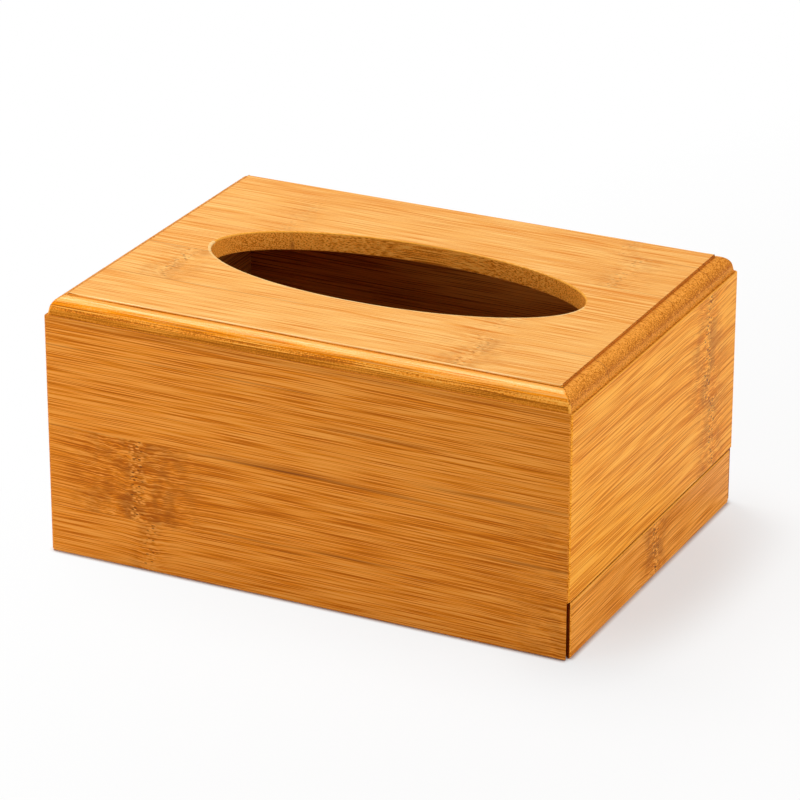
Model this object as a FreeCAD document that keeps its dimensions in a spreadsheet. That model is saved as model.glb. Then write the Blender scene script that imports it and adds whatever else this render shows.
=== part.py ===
import FreeCAD, Part
import math
import os
import re

import Sketcher
from FreeCAD import Placement, Rotation, Vector

# Bamboo tissue box, in millimetres. The origin is at the middle of the bottom, +X runs along the
# long side towards the end that opens, +Y to the back and +Z up.

SIZES = {
    # The whole case.
    "case_length": 165,
    "case_depth": 120,
    "case_height": 80,
    # The walls: one stock, mitred at the corners, with eased edges.
    "wall_thickness": 6,
    "corner_radius": 1,
    "foot_radius": 0.8,
    "arris_radius": 0.3,
    # The top board and its moulded edge: a step down from the flat, then a round nearly to the bottom.
    "top_thickness": 6,
    "top_reveal": 0.8,
    "step_height": 0.8,
    "moulding_width": 4.5,
    "round_radius": 5,
    # The oval mouth.
    "oval_length": 118,
    "oval_width": 49,
    "rim_radius": 0.4,
    # The strip that closes the right end, and the gaps round it.
    "strip_height": 17.2,
    "strip_gap": 0.5,
    "mitre_gap": 1,
    "mitre_relief": 0.4,
    # The sliding base and its grooves.
    "base_thickness": 3,
    "base_lift": 5,
    "groove_depth": 3,
    "groove_play": 0.4,
    "side_play": 0.4,
    "lead_radius": 2,
    # The keys across the mitres.
    "spline_thickness": 1.5,
    "spline_width": 6,
    "spline_inset": 2.4,
    "spline_foot": 4,
    "spline_play": 0.1,
    # How far a cutter runs past a face.
    "cut_overrun": 2,
}

# A foot's rounding stays inside the rounding of the upright edge that it runs into.
FOOT_LIMIT_SHARE = 0.9

# The round on the top leaves a little of the board's edge upright.
ROUND_LIMIT_SHARE = 0.97

# Points closer than this are one place.
SAME_PLACE = 1e-6

UP = Vector(0, 0, 1)

os.makedirs("parts", exist_ok=True)
doc = FreeCAD.newDocument("tissue_box")
sheet = doc.addObject("Spreadsheet::Sheet", "sizes")
for row, (alias, number) in enumerate(SIZES.items(), start=1):
    sheet.set(f"A{row}", alias)
    sheet.set(f"B{row}", str(number))
    sheet.setAlias(f"B{row}", alias)
doc.recompute()


def formula(text):
    """Turns the names of sizes into references to the sheet."""
    return re.sub(r"[a-z]+_[a-z]+", lambda found: "sizes." + found.group(0), text)


def measure(text):
    """The present value of a formula."""
    return float(sheet.evalExpression(formula(text)))


def bind(item, target, text):
    item.setExpression(target, formula(text))


def new_body(name):
    body = doc.addObject("PartDesign::Body", name)
    body.Label = name
    return body


def new_sketch(body, role, lift="0", across="0", along="0", turn=0):
    """A sketch on one of the body's own planes, lifted and shifted by bound distances."""
    sketch = body.newObject("Sketcher::SketchObject", f"{body.Name}_sketch")
    plane = next(item for item in body.Origin.OriginFeatures if item.Role == role)
    sketch.AttachmentSupport = (plane, [""])
    sketch.MapMode = "FlatFace"
    sketch.AttachmentOffset = Placement(Vector(0, 0, 0), Rotation(UP, turn))
    bind(sketch, "AttachmentOffset.Base.x", across)
    bind(sketch, "AttachmentOffset.Base.y", along)
    bind(sketch, "AttachmentOffset.Base.z", lift)
    return sketch


def fix(sketch, kind, geometry, point, text):
    """Holds one point of the sketch at a bound distance from the sketch's origin."""
    index = sketch.addConstraint(Sketcher.Constraint(kind, -1, 1, geometry, point, measure(text)))
    bind(sketch, f"Constraints[{index}]", text)


def rectangle(sketch, left, right, low, high):
    """A rectangle between four bound distances from the sketch's origin."""
    x0, x1, y0, y1 = (measure(text) for text in (left, right, low, high))
    corners = [Vector(x0, y0), Vector(x1, y0), Vector(x1, y1), Vector(x0, y1)]
    for start, end in zip(corners, corners[1:] + corners[:1]):
        sketch.addGeometry(Part.LineSegment(start, end), False)
    for side in range(4):
        sketch.addConstraint(Sketcher.Constraint("Coincident", side, 2, (side + 1) % 4, 1))
        sketch.addConstraint(Sketcher.Constraint("Vertical" if side % 2 else "Horizontal", side))
    fix(sketch, "DistanceX", 0, 1, left)
    fix(sketch, "DistanceY", 0, 1, low)
    fix(sketch, "DistanceX", 2, 1, right)
    fix(sketch, "DistanceY", 2, 1, high)


def centred_rectangle(sketch, width, depth):
    rectangle(sketch, f"-({width}) / 2", f"({width}) / 2", f"-({depth}) / 2", f"({depth}) / 2")


def oval(sketch, length, width):
    """An ellipse about the sketch's origin, held by its two axes."""
    centre = Vector(0, 0)
    curve, long_axis, short_axis = range(3)
    sketch.addGeometry(Part.Ellipse(Vector(measure(length) / 2, 0), Vector(0, measure(width) / 2), centre), False)
    sketch.exposeInternalGeometry(curve)
    sketch.addConstraint(Sketcher.Constraint("Coincident", curve, 3, -1, 1))
    sketch.addConstraint(Sketcher.Constraint("Horizontal", long_axis))
    for axis, span in ((long_axis, length), (short_axis, width)):
        index = sketch.addConstraint(Sketcher.Constraint("Distance", axis, measure(span)))
        bind(sketch, f"Constraints[{index}]", span)


def wall_outline(sketch, run, face):
    """Plan of a wall: its outer face, two half rounded corners, two mitres and the inner face.

    The wall runs along X with its outer face at -Y. Each mitre passes through the centre of the
    corner's rounding, so two walls that meet share one smooth corner.
    """
    half = f"(({run}) / 2)"
    corner = Vector(measure(half), -measure(face))
    inwards = Vector(-1, 1)
    radius = measure("corner_radius")
    centre = corner + inwards * radius
    inside = corner + inwards * measure("wall_thickness")
    tip = centre - inwards.normalize() * radius
    foot = centre - Vector(0, radius)

    def mirrored(point):
        return Vector(-point.x, point.y)

    def rounding(middle, start, end):
        circle = Part.Circle(middle, UP, radius)
        return Part.ArcOfCircle(circle, math.radians(start), math.radians(end))

    outlines = (
        Part.LineSegment(mirrored(foot), foot),
        rounding(centre, -90, -45),
        Part.LineSegment(tip, inside),
        Part.LineSegment(inside, mirrored(inside)),
        Part.LineSegment(mirrored(inside), mirrored(tip)),
        rounding(mirrored(centre), -135, -90),
    )
    for outline in outlines:
        sketch.addGeometry(outline, False)
    outer, right_round, right_mitre, inner, left_mitre, left_round = range(len(outlines))
    joins = (
        ("Tangent", outer, 2, right_round, 1),
        ("Coincident", right_round, 2, right_mitre, 1),
        ("Coincident", right_mitre, 2, inner, 1),
        ("Coincident", inner, 2, left_mitre, 1),
        ("Coincident", left_mitre, 2, left_round, 1),
        ("Tangent", left_round, 2, outer, 1),
        ("PointOnObject", right_round, 3, right_mitre),
        ("PointOnObject", left_round, 3, left_mitre),
        ("Horizontal", outer),
        ("Horizontal", inner),
    )
    for join in joins:
        sketch.addConstraint(Sketcher.Constraint(*join))
    fix(sketch, "DistanceY", outer, 1, f"-({face})")
    fix(sketch, "DistanceY", inner, 1, f"wall_thickness - ({face})")
    fix(sketch, "DistanceX", inner, 1, f"{half} - wall_thickness")
    fix(sketch, "DistanceX", inner, 2, f"wall_thickness - {half}")
    fix(sketch, "DistanceX", right_round, 3, f"{half} - corner_radius")
    fix(sketch, "DistanceX", left_round, 3, f"corner_radius - {half}")
    fix(sketch, "DistanceY", right_round, 3, f"corner_radius - ({face})")
    fix(sketch, "DistanceY", left_round, 3, f"corner_radius - ({face})")


def pad(body, sketch, length):
    feature = body.newObject("PartDesign::Pad", f"{body.Name}_pad")
    feature.Profile = sketch
    bind(feature, "Length", length)
    doc.recompute()


def pocket(body, sketch, length, side="One side"):
    before = body.Shape.Volume
    feature = body.newObject("PartDesign::Pocket", f"{body.Name}_pocket")
    feature.Profile = sketch
    feature.SideType = side
    bind(feature, "Length", length)
    doc.recompute()
    if not body.Shape.Volume < before:
        raise RuntimeError(f"{feature.Label} cuts nothing")


def fillet(body, radius, wanted):
    """Rounds the edges that pass a test."""
    base = body.Tip
    names = [f"Edge{index}" for index, edge in enumerate(base.Shape.Edges, start=1) if wanted(edge)]
    feature = body.newObject("PartDesign::Fillet", f"{body.Name}_fillet")
    feature.Base = (base, names)
    bind(feature, "Radius", radius)
    doc.recompute()


def lies_at(edge, axis, place):
    """True for an edge whose ends all lie at one place along an axis."""
    return all(abs(getattr(vertex, axis) - place) < SAME_PLACE for vertex in edge.Vertexes)


def is_upright(edge):
    start, end = edge.Vertexes[0], edge.Vertexes[-1]
    return lies_at(edge, "X", start.X) and lies_at(edge, "Y", start.Y) and end.Z != start.Z


WALL_TOP = "case_height - top_thickness"
END_FOOT = "strip_height + strip_gap"
SPLINE_FOOT = f"{END_FOOT} + spline_foot"
FOOT_EASE = f"min(foot_radius; corner_radius * {FOOT_LIMIT_SHARE})"
TOP_ROUND = f"min(round_radius; (top_thickness - step_height) * {ROUND_LIMIT_SHARE})"

# A key's middle lies on the mitre, this far in from the case's corner along X and along Y.
KEY_FROM_CORNER = "(wall_thickness - spline_inset / sqrt(2))"


def wall(name, run, face, low, high, turn, low_ease):
    """A mitred board, drawn as the front wall and turned to its side of the case."""
    body = new_body(name)
    plan = new_sketch(body, "XY_Plane", lift=low)
    wall_outline(plan, run, face)
    pad(body, plan, f"({high}) - ({low})")
    outside = -measure(face)
    for level, radius in ((low, low_ease), (high, "arris_radius")):
        height = measure(level)
        fillet(body, radius, lambda edge: lies_at(edge, "Z", height) and lies_at(edge, "Y", outside))
    body.Placement = Placement(Vector(0, 0, 0), Rotation(UP, turn))
    return body


def base_groove(body, run, face):
    """The groove along a wall's inner face that takes the edge of the base."""
    inside = f"wall_thickness - ({face})"
    section = new_sketch(body, "YZ_Plane")
    rectangle(section, f"{inside} - groove_depth", f"{inside} + cut_overrun", "base_lift",
              "base_lift + base_thickness + groove_play")
    pocket(body, section, f"({run}) + cut_overrun", "Symmetric")


def key_slots(body, run, face):
    """A slot across the mitre at each end of a wall, cut down from its top edge."""
    for side in (-1, 1):
        slot = new_sketch(body, "XY_Plane", WALL_TOP, f"{side} * (({run}) / 2 - {KEY_FROM_CORNER})",
                          f"{KEY_FROM_CORNER} - ({face})", -45 * side)
        centred_rectangle(slot, "spline_thickness + 2 * spline_play", "spline_width + 2 * spline_play")
        pocket(body, slot, f"{WALL_TOP} - ({SPLINE_FOOT})")


def strip_relief(body, run, face, side):
    """Cuts one mitre of a wall back beside the strip, so that the strip runs free."""
    middle = "wall_thickness / 2"
    cut = new_sketch(body, "XY_Plane", END_FOOT, f"{side} * (({run}) / 2 - {middle})", f"{middle} - ({face})",
                     -45 * side)
    centred_rectangle(cut, "2 * wall_thickness", "2 * mitre_relief")
    pocket(body, cut, f"{END_FOOT} + cut_overrun")


def long_wall(name, turn, right_side):
    run, face = "case_length", "case_depth / 2"
    body = wall(name, run, face, "0", WALL_TOP, turn, FOOT_EASE)
    base_groove(body, run, face)
    key_slots(body, run, face)
    strip_relief(body, run, face, right_side)
    return body


def left_end_panel():
    run, face = "case_depth", "case_length / 2"
    body = wall("left_end_panel", run, face, "0", WALL_TOP, -90, FOOT_EASE)
    base_groove(body, run, face)
    key_slots(body, run, face)
    return body


def right_end_panel():
    """The right end stops above the strip, so that the base can pass under it."""
    run, face = "case_depth", "case_length / 2"
    body = wall("right_end_panel", run, face, END_FOOT, WALL_TOP, 90, "arris_radius")
    key_slots(body, run, face)
    return body


def pull_strip():
    """The strip below the right end, with its mitres cut back to slide free of the long walls."""
    run, face = "case_depth - 2 * sqrt(2) * mitre_gap", "case_length / 2"
    body = wall("pull_strip", run, face, "0", "strip_height", 90, FOOT_EASE)
    base_groove(body, run, face)
    return body


def base_board():
    """The base fills the strip's groove at the right and runs with play in the other three."""
    body = new_body("base_board")
    plan = new_sketch(body, "XY_Plane", lift="base_lift")
    seat = "wall_thickness - groove_depth"
    reach = f"(case_length / 2 - ({seat}))"
    edge = f"(case_depth / 2 - ({seat}) - side_play)"
    rectangle(plan, f"side_play - {reach}", reach, f"-{edge}", edge)
    pad(body, plan, "base_thickness")
    leading = measure(f"side_play - {reach}")
    fillet(body, "lead_radius", lambda edge: lies_at(edge, "X", leading) and is_upright(edge))
    return body


def top_panel():
    """The board, its rounded edge, the raised flat that leaves the step, and the oval mouth.

    The flat grows from the middle of the board, because it reaches out over the start of the round.
    """
    body = new_body("top_panel")
    blank = new_sketch(body, "XY_Plane", lift=WALL_TOP)
    centred_rectangle(blank, "case_length - 2 * top_reveal", "case_depth - 2 * top_reveal")
    pad(body, blank, "top_thickness - step_height")
    shoulder = measure("case_height - step_height")
    fillet(body, TOP_ROUND, lambda edge: lies_at(edge, "Z", shoulder))
    inset = "2 * (top_reveal + moulding_width)"
    flat = new_sketch(body, "XY_Plane", lift="case_height - top_thickness / 2")
    centred_rectangle(flat, f"case_length - {inset}", f"case_depth - {inset}")
    pad(body, flat, "top_thickness / 2")
    mouth = new_sketch(body, "XY_Plane", lift="case_height")
    oval(mouth, "oval_length", "oval_width")
    pocket(body, mouth, "top_thickness + cut_overrun")
    upper = measure("case_height")
    fillet(body, "rim_radius", lambda edge: edge.isClosed() and lies_at(edge, "Z", upper))
    return body


def mitre_key(name, x_side, y_side):
    """A thin board that lies across one mitre, in the slots of both walls."""
    body = new_body(name)
    section = new_sketch(body, "XY_Plane")
    centred_rectangle(section, "spline_thickness", "spline_width")
    pad(body, section, f"{WALL_TOP} - ({SPLINE_FOOT}) - spline_play")
    body.Placement = Placement(Vector(0, 0, 0), Rotation(UP, 45 * x_side * y_side))
    bind(body, "Placement.Base.x", f"{x_side} * (case_length / 2 - {KEY_FROM_CORNER})")
    bind(body, "Placement.Base.y", f"{y_side} * (case_depth / 2 - {KEY_FROM_CORNER})")
    bind(body, "Placement.Base.z", f"{SPLINE_FOOT} + spline_play")
    return body


pieces = [
    top_panel(),
    long_wall("front_panel", 0, 1),
    long_wall("back_panel", 180, -1),
    left_end_panel(),
    right_end_panel(),
    base_board(),
    pull_strip(),
]
for end, x_side in (("left", -1), ("right", 1)):
    for face, y_side in (("front", -1), ("back", 1)):
        pieces.append(mitre_key(f"spline_{face}_{end}", x_side, y_side))
doc.recompute()

for item in doc.Objects:
    if {"Invalid", "Error"} & set(item.State):
        raise RuntimeError(f"{item.Label} failed: {item.State}")
for piece in pieces:
    if piece.Shape.isNull() or not piece.Shape.isValid() or len(piece.Shape.Solids) != 1:
        raise RuntimeError(f"{piece.Label} is not one sound solid")

for piece in pieces:
    piece.Shape.exportStep(f"parts/{piece.Label}.step")
    box = piece.Shape.BoundBox
    print(f"{piece.Label}: {box.XLength:.2f} x {box.YLength:.2f} x {box.ZLength:.2f}, volume {piece.Shape.Volume:.0f}")
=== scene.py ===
# %% [markdown]
# A tissue box of lacquered bamboo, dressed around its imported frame.
# The real box is four mitred walls, a top board with a moulded edge and an oval mouth, and a base that
# slides out at the right end with a strip of wall on it. All of it is cut from glued bamboo boards, so
# this lesson spends most of its time on one finish, bamboo, and on the small roundings that catch light.

# %% Load the frame
import math

import bmesh
import bpy
from mathutils import Matrix, Vector


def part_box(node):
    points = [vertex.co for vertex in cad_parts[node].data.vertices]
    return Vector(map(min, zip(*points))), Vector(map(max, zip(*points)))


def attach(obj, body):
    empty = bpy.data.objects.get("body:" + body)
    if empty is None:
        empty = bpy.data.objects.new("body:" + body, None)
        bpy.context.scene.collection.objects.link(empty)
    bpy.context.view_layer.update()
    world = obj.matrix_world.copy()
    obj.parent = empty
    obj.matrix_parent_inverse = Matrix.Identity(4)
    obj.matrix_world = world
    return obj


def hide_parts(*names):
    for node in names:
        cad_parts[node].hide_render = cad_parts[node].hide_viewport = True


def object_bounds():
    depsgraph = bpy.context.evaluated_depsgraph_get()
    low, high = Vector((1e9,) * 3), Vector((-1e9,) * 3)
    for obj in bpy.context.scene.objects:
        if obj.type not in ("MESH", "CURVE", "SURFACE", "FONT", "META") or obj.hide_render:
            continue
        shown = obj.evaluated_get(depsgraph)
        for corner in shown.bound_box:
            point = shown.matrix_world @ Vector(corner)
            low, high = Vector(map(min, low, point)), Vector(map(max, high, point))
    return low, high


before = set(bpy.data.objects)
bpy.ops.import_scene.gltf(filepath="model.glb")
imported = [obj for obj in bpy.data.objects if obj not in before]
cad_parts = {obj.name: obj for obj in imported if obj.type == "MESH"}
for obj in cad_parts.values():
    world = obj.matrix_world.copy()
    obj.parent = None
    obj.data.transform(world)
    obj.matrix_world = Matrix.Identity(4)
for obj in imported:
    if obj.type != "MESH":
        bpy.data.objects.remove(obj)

MM = 0.001
cad_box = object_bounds()
print("frame:", sorted(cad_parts))

# %% [markdown]
# Two helpers serve every finish. Colours are written as hex codes, the way a paint program shows them,
# and turned into the linear numbers that light is counted in. Nodes are added by one function that sets
# their options and links or fills their sockets, so a material reads from top to bottom.

# %% Colours and nodes
def linear(code):
    """A hex colour as linear red, green and blue, with a full alpha."""
    parts = [int(code[at:at + 2], 16) / 255 for at in (1, 3, 5)]
    return (*(part / 12.92 if part <= 0.04045 else ((part + 0.055) / 1.055) ** 2.4 for part in parts), 1.0)


def add(tree, kind, sockets=None, **options):
    """Adds one node, sets its options, and links or fills its sockets. Gives the node's outputs."""
    node = tree.nodes.new("ShaderNode" + kind)
    for name, value in options.items():
        setattr(node, name, value)
    for socket, value in (sockets or {}).items():
        if isinstance(value, bpy.types.NodeSocket):
            tree.links.new(value, node.inputs[socket])
        else:
            node.inputs[socket].default_value = value
    return node.outputs


print("orange of the boards in linear light:", [round(part, 3) for part in linear("#CE7A29")])

# %% [markdown]
# Bamboo is a grass. A culm is split into strips, and strips about 25 mm wide are glued edge to edge into
# a board. Every pattern therefore needs a place measured along the fibres, across the strips and through
# the board. A flat picture laid on each face would break at the edges. Object coordinates in millimetres,
# turned by a Mapping node, fill space like real wood, so a cut face shows the same fibres end on.

# %% Where a point lies in its board
QUARTER = math.pi / 2
# Each turn lays the pattern's X along the fibres and its Y across the strips.
LYING_LENGTHWISE = (0.0, 0.0, 0.0)
STANDING_LENGTHWISE = (-QUARTER, 0.0, 0.0)
STANDING_CROSSWISE = (-QUARTER, -QUARTER, 0.0)
NOISE_ROUGHNESS = 0.6


def place_in_board(tree, turn):
    """A point's place in millimetres: along the fibres, across the strips, through the board."""
    coords = add(tree, "TexCoord")["Object"]
    return add(tree, "Mapping", {"Vector": coords, "Rotation": turn, "Scale": (1 / MM,) * 3})[0]


def grain_noise(tree, place, length, width, detail=2.0):
    """Noise drawn out along the fibres, in blots of about length by width millimetres."""
    cells = (1 / length, 1 / width, 1 / width)
    drawn_out = add(tree, "VectorMath", {0: place, 1: cells}, operation="MULTIPLY")[0]
    return add(tree, "TexNoise", {"Vector": drawn_out, "Scale": 1.0, "Detail": detail,
                                  "Roughness": NOISE_ROUGHNESS})[0]


print("boards lie in the box in three ways:", LYING_LENGTHWISE, STANDING_LENGTHWISE, STANDING_CROSSWISE)

# %% [markdown]
# Each strip comes from another culm, so its tone and its fibres differ from its neighbour's. A number per
# strip feeds white noise, which gives a tone and a large shift of the pattern. The glue between two strips
# shows as a thin dark line that comes and goes: a line along every seam, seen only where a slow noise
# rises past two levels.

# %% Strips and glue lines
STRIP_WIDTH = 25.0
STRIP_SHIFT = 400.0
GLUE_HALF_WIDTH = 0.4
GLUE_PATCH = (45.0, 6.0)
GLUE_LEVELS = (0.42, 0.62)


def strips_of_board(tree, place, first_seam, seed):
    """Gives each strip's random tone, the place shifted strip by strip, and the glue lines."""
    across = add(tree, "SeparateXYZ", {0: place})["Y"]
    counted = add(tree, "Math", {0: across, 1: 1 / STRIP_WIDTH, 2: -first_seam / STRIP_WIDTH},
                  operation="MULTIPLY_ADD")[0]
    number = add(tree, "Math", {0: counted}, operation="FLOOR")[0]
    seeded = add(tree, "Math", {0: number, 1: seed}, operation="ADD")[0]
    chance = add(tree, "TexWhiteNoise", {"W": seeded}, noise_dimensions="1D")
    shift = add(tree, "VectorMath", {0: chance["Color"], "Scale": STRIP_SHIFT}, operation="SCALE")[0]
    shifted = add(tree, "VectorMath", {0: place, 1: shift}, operation="ADD")[0]
    # The nearest seam is never more than half a strip away.
    to_seam = add(tree, "Math", {0: counted, 1: 0.5}, operation="PINGPONG")[0]
    line = add(tree, "MapRange", {0: to_seam, 1: 0.0, 2: GLUE_HALF_WIDTH / STRIP_WIDTH, 3: 1.0, 4: 0.0},
               interpolation_type="SMOOTHSTEP")[0]
    patches = grain_noise(tree, place, *GLUE_PATCH)
    shown = add(tree, "MapRange", {0: patches, 1: GLUE_LEVELS[0], 2: GLUE_LEVELS[1]},
                interpolation_type="SMOOTHSTEP")[0]
    glue = add(tree, "Math", {0: line, 1: shown}, operation="MULTIPLY")[0]
    return chance["Value"], shifted, glue


print("strips of", STRIP_WIDTH, "mm with glue lines of", 2 * GLUE_HALF_WIDTH, "mm")

# %% [markdown]
# Where a glue joint was starved, or stain gathered, there is one long dark streak. Chance would put such
# marks anywhere, so they are listed one by one, each as its place along and across the board, half its
# length, half its width and its strength.

# %% Dark streaks
# One of the front's streaks, long and faint under the moulding, is a painted shade.
def streak_mask(tree, place, streaks):
    """A mask of single streaks along the fibres."""
    parts = add(tree, "SeparateXYZ", {0: place})
    mask = 0.0
    for along, across, half_length, half_width, strength in streaks:
        shown = strength
        for axis, middle, half in (("X", along, half_length), ("Y", across, half_width)):
            off = add(tree, "Math", {0: parts[axis], 1: middle}, operation="SUBTRACT")[0]
            away = add(tree, "Math", {0: off}, operation="ABSOLUTE")[0]
            near = add(tree, "MapRange", {0: away, 1: 0.0, 2: half, 3: 1.0, 4: 0.0},
                       interpolation_type="SMOOTHSTEP")[0]
            shown = add(tree, "Math", {0: near, 1: shown}, operation="MULTIPLY")[0]
        mask = add(tree, "Math", {0: shown, 1: mask}, operation="ADD")[0]
    return mask


# %% [markdown]
# Where the culm had a joint, each strip keeps a knuckle: a crooked row of pits and pale flecks across the
# strip, brown smudges close beside it, and short broken fibres for a couple of centimetres on both sides.
# The knuckles are listed one by one, each as its place along the fibres, the two edges of its strip, how
# strongly it shows and how far its fibres are broken. Two masks come out, a narrow one and a wide one.

# %% Knuckles
ROW_CROOK = (30.0, 5.0)
ROW_WOBBLE = 5.0
ROW_CORE = 0.8
ROW_HALF_WIDTH = 3.4
STRIP_EDGE = 0.2


def knuckle_masks(tree, place, knuckles):
    """Masks of the pitted rows and of the broken grain round them."""
    parts = add(tree, "SeparateXYZ", {0: place})
    crooked = grain_noise(tree, place, *ROW_CROOK)
    along = add(tree, "Math", {0: crooked, 1: ROW_WOBBLE, 2: parts["X"]}, operation="MULTIPLY_ADD")[0]
    row = 0.0
    broken = 0.0
    for spot, low, high, strength, reach in knuckles:
        off = add(tree, "Math", {0: along, 1: spot + ROW_WOBBLE / 2}, operation="SUBTRACT")[0]
        away = add(tree, "Math", {0: off}, operation="ABSOLUTE")[0]
        aside = add(tree, "Math", {0: parts["Y"], 1: (low + high) / 2}, operation="SUBTRACT")[0]
        from_middle = add(tree, "Math", {0: aside}, operation="ABSOLUTE")[0]
        half = (high - low) / 2
        inside = add(tree, "MapRange", {0: from_middle, 1: half - STRIP_EDGE, 2: half + STRIP_EDGE,
                                        3: strength, 4: 0.0}, interpolation_type="SMOOTHSTEP")[0]
        near = add(tree, "MapRange", {0: away, 1: ROW_CORE, 2: ROW_HALF_WIDTH, 3: 1.0, 4: 0.0},
                   interpolation_type="SMOOTHSTEP")[0]
        about = add(tree, "MapRange", {0: away, 1: 0.0, 2: reach, 3: 1.0, 4: 0.0},
                    interpolation_type="SMOOTHSTEP")[0]
        row = add(tree, "Math", {0: near, 1: inside, 2: row}, operation="MULTIPLY_ADD")[0]
        broken = add(tree, "Math", {0: about, 1: inside, 2: broken}, operation="MULTIPLY_ADD")[0]
    return row, broken


print("rows of pits", 2 * ROW_HALF_WIDTH, "mm wide")

# %% [markdown]
# Real fibres never run quite straight. They drift by part of a millimetre along a board and ripple beside a
# knuckle. Bending each layer of grain by itself would tear them apart, so the place is pushed sideways once,
# before any layer is drawn, and all of them bend together.

# %% Bent fibres
DRIFT = (80.0, 16.0)
DRIFT_HEIGHT = 0.6
WAVE = (4.0, 1.6)
WAVE_HEIGHT = 1.3


def bent_place(tree, place, broken):
    """The place with its slow drift, and with waves near the knuckles."""
    drift = grain_noise(tree, place, *DRIFT, detail=1.0)
    wave = grain_noise(tree, place, *WAVE, detail=1.0)
    drift_by = add(tree, "Math", {0: drift, 1: DRIFT_HEIGHT}, operation="MULTIPLY")[0]
    wave_size = add(tree, "Math", {0: broken, 1: WAVE_HEIGHT}, operation="MULTIPLY")[0]
    aside = add(tree, "Math", {0: wave, 1: wave_size, 2: drift_by}, operation="MULTIPLY_ADD")[0]
    push = add(tree, "CombineXYZ", {"Y": aside})[0]
    return add(tree, "VectorMath", {0: place, 1: push}, operation="ADD")[0]


print("fibres drift by", DRIFT_HEIGHT, "mm and ripple by", WAVE_HEIGHT, "mm")

# %% [markdown]
# The fibres themselves are fine lines, about a fifth of a millimetre wide and two centimetres long, over
# broader bands of tone. Several stretched noises of different sizes add up to one tone from 0, pale, to 1,
# dark. The finest has a single octave, because a second one would be too fine to show and would only blur
# the lines. A few stronger dark lines and, beside a knuckle, short broken dashes go on top.

# %% Fibres and bands
MIDDLE_TONE = 0.42
STRIP_SWING = 0.25
# Each layer: its length and width in millimetres, and how far it swings the tone.
FINEST = (22.0, 0.21, 2.3)
BANDS = ((110.0, 3.5, 0.2), (180.0, 11.0, 0.3))
LINE = (30.0, 0.3)
LINE_LEVELS = (0.53, 0.6)
LINE_SHARE = 0.2
DASH = (4.0, 0.55)
DASH_SWING = 1.9
DASH_PALEST = -0.8


def fibre_tone(tree, place, broken, strip_tone, contrast, crispness):
    """The tone of the fibres, from 0, pale, to 1, dark, and the finest layer by itself."""
    strip_swing = STRIP_SWING * contrast
    tone = add(tree, "Math", {0: strip_tone, 1: strip_swing, 2: MIDDLE_TONE - strip_swing / 2},
               operation="MULTIPLY_ADD")[0]
    finest = grain_noise(tree, place, *FINEST[:2], detail=0.0)
    layers = [(finest, FINEST[2] * crispness)]
    layers += [(grain_noise(tree, place, length, width), swing) for length, width, swing in BANDS]
    for layer, full_swing in layers:
        swing = full_swing * contrast
        level = add(tree, "Math", {0: layer, 1: swing, 2: -swing / 2}, operation="MULTIPLY_ADD")[0]
        tone = add(tree, "Math", {0: tone, 1: level}, operation="ADD")[0]
    lines = grain_noise(tree, place, *LINE, detail=1.0)
    dark = add(tree, "MapRange", {0: lines, 1: LINE_LEVELS[0], 2: LINE_LEVELS[1], 3: 0.0,
                                  4: LINE_SHARE * contrast}, interpolation_type="SMOOTHSTEP")[0]
    tone = add(tree, "Math", {0: tone, 1: dark}, operation="ADD")[0]
    dashes = grain_noise(tree, place, *DASH)
    dashed = add(tree, "Math", {0: dashes, 1: DASH_SWING, 2: DASH_PALEST}, operation="MULTIPLY_ADD")[0]
    tone = add(tree, "Math", {0: dashed, 1: broken, 2: tone}, operation="MULTIPLY_ADD")[0]
    return tone, finest


print("finest fibres", FINEST[0], "by", FINEST[1], "mm, with", len(BANDS), "bands under them")

# %% [markdown]
# A planed face shows the fibres as they lie. A face cut by a router has their ends torn open, which shows
# as a fine stipple in the colour and in the relief. A rounded face may also change its tone with the height:
# on the long rounds a paler crest is a painted highlight, and the end rounds grow darker towards the foot.
# The tone then picks a colour between pale straw and dark fibre.

# %% Stipple, depth and colour
# Open vessels are about half as wide as this. So fine, they would not show.
STIPPLE = 0.45
# Where the pale, the middle and the dark colour stand on the scale of tones.
TONE_STOPS = (0.15, 0.5, 0.9)


def stippled(tree, place, tone, relief, share):
    """Darkens the tone in fine points, and sinks the relief there."""
    points = add(tree, "TexNoise", {"Vector": place, "Scale": 1 / STIPPLE, "Detail": 1.0})[0]
    points = add(tree, "Math", {0: points, 1: share, 2: -share / 2}, operation="MULTIPLY_ADD")[0]
    darker = add(tree, "Math", {0: tone, 1: points}, operation="ADD")[0]
    sunk = add(tree, "Math", {0: relief, 1: points}, operation="SUBTRACT")[0]
    return darker, sunk


def deepened(tree, place, tone, crest, foot, crest_change, foot_change):
    """Changes the tone by one amount above the crest and by another below the foot, evenly in between."""
    height = add(tree, "SeparateXYZ", {0: place})["Z"]
    change = add(tree, "MapRange", {0: height, 1: crest, 2: foot, 3: crest_change, 4: foot_change})[0]
    return add(tree, "Math", {0: tone, 1: change}, operation="ADD")[0]


def coloured(tree, tone, *colours):
    """The colour of a tone, between a pale, a middle and a dark one."""
    ramp = add(tree, "ValToRGB", {0: tone})[0]
    stops = ramp.node.color_ramp.elements
    stops.new(TONE_STOPS[1])
    for stop, position, colour in zip(stops, TONE_STOPS, colours):
        stop.position = position
        stop.color = colour
    return ramp


print("stipple of", STIPPLE, "mm")

# %% [markdown]
# Small marks go over the fibres: dark bundles of vessels everywhere, and at a knuckle brown smudges, pale
# flecks and dark pits. A cell pattern scatters one spot to a cell, which keeps such marks apart the way
# growth does. Plain noise would clump them.

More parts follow.
